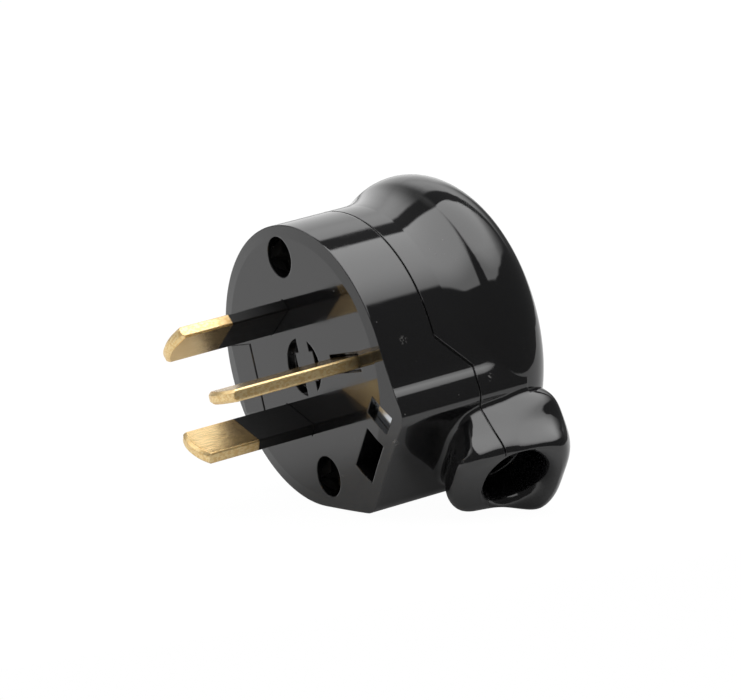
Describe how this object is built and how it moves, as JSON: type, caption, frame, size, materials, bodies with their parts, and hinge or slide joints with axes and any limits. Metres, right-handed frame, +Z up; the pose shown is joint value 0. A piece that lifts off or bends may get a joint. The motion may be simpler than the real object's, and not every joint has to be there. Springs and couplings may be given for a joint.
{
  "type": "side-entry plug",
  "caption": "Round black side-entry mains plug with slanted flat brass pins, insulating sleeves, a rounded grip rim and a flared cord spout at one side.",
  "frame": {"origin": "under the middle of the plug's bounding box, on the table it lies on", "axes": "+Z up, pins pointing to -X and a little down, flat back towards +X, cord spout down towards -Y"},
  "size_m": [0.0476, 0.0482, 0.0424],
  "materials": {
    "housing": "polished moulded black",
    "sleeves": "satin black",
    "pins": "satin sheared brass",
    "screws": "plated, dulled"
  },
  "bodies": {
    "root": {"base": "housing", "rear_cover": "housing", "active_pin": "pins", "neutral_pin": "pins", "earth_pin": "pins", "active_pin_sleeve": "sleeves", "neutral_pin_sleeve": "sleeves", "terminal_screws": "screws", "housing_screws": "screws", "cover_inserts": "pins"}
  },
  "joints": []
}
